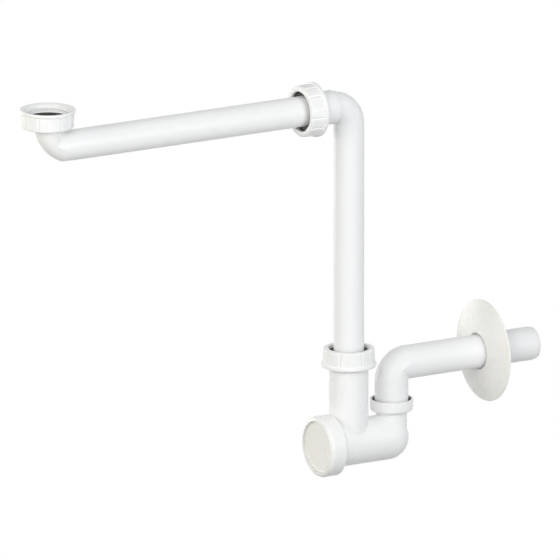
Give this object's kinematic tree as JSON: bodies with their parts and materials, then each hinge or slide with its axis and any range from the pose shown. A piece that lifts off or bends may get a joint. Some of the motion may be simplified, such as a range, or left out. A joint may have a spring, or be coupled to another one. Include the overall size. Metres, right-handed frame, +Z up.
{
  "type": "space saving sink trap",
  "caption": "Space saving sink trap: nut for the waste, long level arm, down pipe, compact trap body with cleaning cap, outlet bend and wall rosette.",
  "frame": {"origin": "centre of the inlet, on the washer's upper face where the waste lands", "axes": "+Z up out of the inlet, +X along the level arm to the wall"},
  "size_m": [0.5595, 0.0974, 0.3967],
  "materials": {
    "nut_plastic": "moulded, glossy",
    "washer_rubber": "smooth",
    "arm_plastic": "moulded, glossy",
    "ring_plastic": "moulded, dull black",
    "seal_rubber": "smooth",
    "bend_plastic": "moulded, glossy",
    "body_plastic": "moulded, glossy",
    "cap_plastic": "moulded, glossy",
    "plug_plastic": "moulded, glossy",
    "outlet_plastic": "moulded, glossy",
    "rosette_plastic": "moulded, glossy"
  },
  "bodies": {
    "outlet": {"outlet_bend": "outlet_plastic"},
    "rosette": {"wall_rosette": "rosette_plastic"},
    "trap": {"trap_body": "body_plastic", "outlet_seal": "seal_rubber"},
    "down_seal": {"body_seal": "seal_rubber"},
    "down_pipe": {"down_bend": "bend_plastic"},
    "body_ring": {"body_slip_ring": "ring_plastic"},
    "body_nut": {"body_nut": "nut_plastic"},
    "arm_seal": {"arm_seal": "seal_rubber"},
    "arm": {"inlet_arm": "arm_plastic", "inlet_washer": "washer_rubber"},
    "arm_ring": {"arm_slip_ring": "ring_plastic"},
    "arm_nut": {"arm_nut": "nut_plastic"},
    "inlet_nut": {"inlet_nut": "nut_plastic"},
    "plug": {"cleaning_plug": "plug_plastic", "cap_seal": "washer_rubber"},
    "cap": {"cap_ring": "cap_plastic"}
  },
  "joints": [
    {"name": "rosette_slide", "type": "slide", "parent": "outlet", "child": "rosette", "axis": [1, 0, 0], "range_m": [-0.045, 0.04]},
    {"name": "trap_swivel", "type": "hinge", "parent": "outlet", "child": "trap", "pos_m": [0.3768, 0, -0.3595], "axis": [0, 0, 1], "range_deg": [-110, 110]},
    {"name": "down_swivel", "type": "hinge", "parent": "trap", "child": "down_seal", "pos_m": [0.3295, 0, -0.3595], "axis": [0, 0, 1], "continuous": true},
    {"name": "down_slide", "type": "slide", "parent": "down_seal", "child": "down_pipe", "axis": [0, 0, 1], "range_m": [-0.022, 0.018]},
    {"name": "body_ring_slide", "type": "slide", "parent": "trap", "child": "body_ring", "axis": [0, 0, 1], "range_m": [0, 0.009]},
    {"name": "body_nut_turn", "type": "hinge", "parent": "body_ring", "child": "body_nut", "pos_m": [0.3295, 0, -0.2747], "axis": [0, 0, 1], "range_deg": [0, 1080]},
    {"name": "arm_swivel", "type": "hinge", "parent": "down_pipe", "child": "arm_seal", "pos_m": [0.3295, 0, -0.03], "axis": [-1, 0, 0], "continuous": true},
    {"name": "arm_slide", "type": "slide", "parent": "arm_seal", "child": "arm", "axis": [-1, 0, 0], "range_m": [-0.008, 0.008]},
    {"name": "arm_ring_slide", "type": "slide", "parent": "down_pipe", "child": "arm_ring", "axis": [-1, 0, 0], "range_m": [0, 0.009]},
    {"name": "arm_nut_turn", "type": "hinge", "parent": "arm_ring", "child": "arm_nut", "pos_m": [0.2828, 0, -0.03], "axis": [-1, 0, 0], "range_deg": [0, 1080]},
    {"name": "inlet_nut_spin", "type": "hinge", "parent": "arm", "child": "inlet_nut", "pos_m": [0, 0, 0], "axis": [0, 0, 1], "continuous": true},
    {"name": "plug_slide", "type": "slide", "parent": "trap", "child": "plug", "axis": [-1, 0, 0], "range_m": [0, 0.009]},
    {"name": "cap_turn", "type": "hinge", "parent": "plug", "child": "cap", "pos_m": [0.30155, 0, -0.3595], "axis": [-1, 0, 0], "range_deg": [0, 1080]}
  ],
  "couplings": [
    {"joint": "body_ring_slide", "follows": "body_nut_turn", "m_per_rad": 0.000477},
    {"joint": "arm_ring_slide", "follows": "arm_nut_turn", "m_per_rad": 0.000477},
    {"joint": "plug_slide", "follows": "cap_turn", "m_per_rad": 0.000477}
  ]
}
